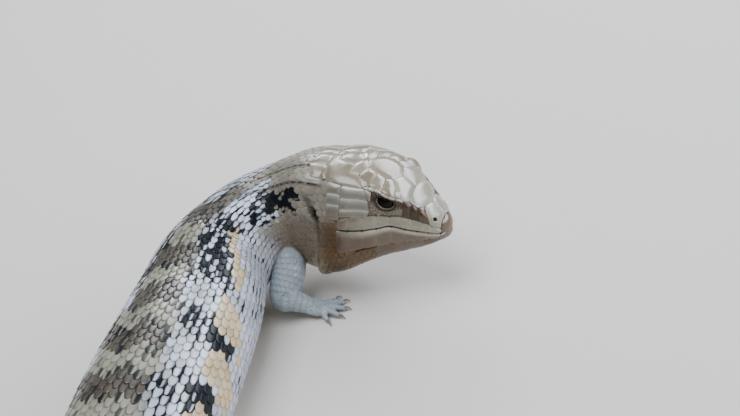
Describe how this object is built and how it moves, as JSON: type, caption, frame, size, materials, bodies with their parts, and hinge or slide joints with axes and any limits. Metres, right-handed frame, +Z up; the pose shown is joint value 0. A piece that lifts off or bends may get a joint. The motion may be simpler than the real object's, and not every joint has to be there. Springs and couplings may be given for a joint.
{
  "type": "blue tongued skink",
  "caption": "Life-size still model of a blue tongued skink lying on its belly, neck bent hard to its right, head raised, short legs out to the sides.",
  "frame": {"origin": "on the floor under the middle of the torso, at the centre of the flat of the belly", "axes": "+X along the torso towards the shoulders, +Y to the animal's left, +Z up"},
  "size_m": [0.3927, 0.2328, 0.0649],
  "materials": {
    "head_shields": "glossy, smooth horny shields",
    "scaly_skin": "satin overlapping scales, banded olive brown and pale grey with black flecks",
    "leg_skin": "satin, fine smooth scales",
    "eye": "wet, glossy, nearly black"
  },
  "bodies": {
    "root": {"head": "head_shields", "eye_left": "eye", "eye_right": "eye", "neck": "scaly_skin", "torso_front": "scaly_skin", "torso_rear": "scaly_skin", "tail_base": "scaly_skin", "tail_middle": "scaly_skin", "tail_tip": "scaly_skin", "foreleg_left": "leg_skin", "foreleg_right": "leg_skin", "hindleg_left": "leg_skin", "hindleg_right": "leg_skin"}
  },
  "joints": []
}
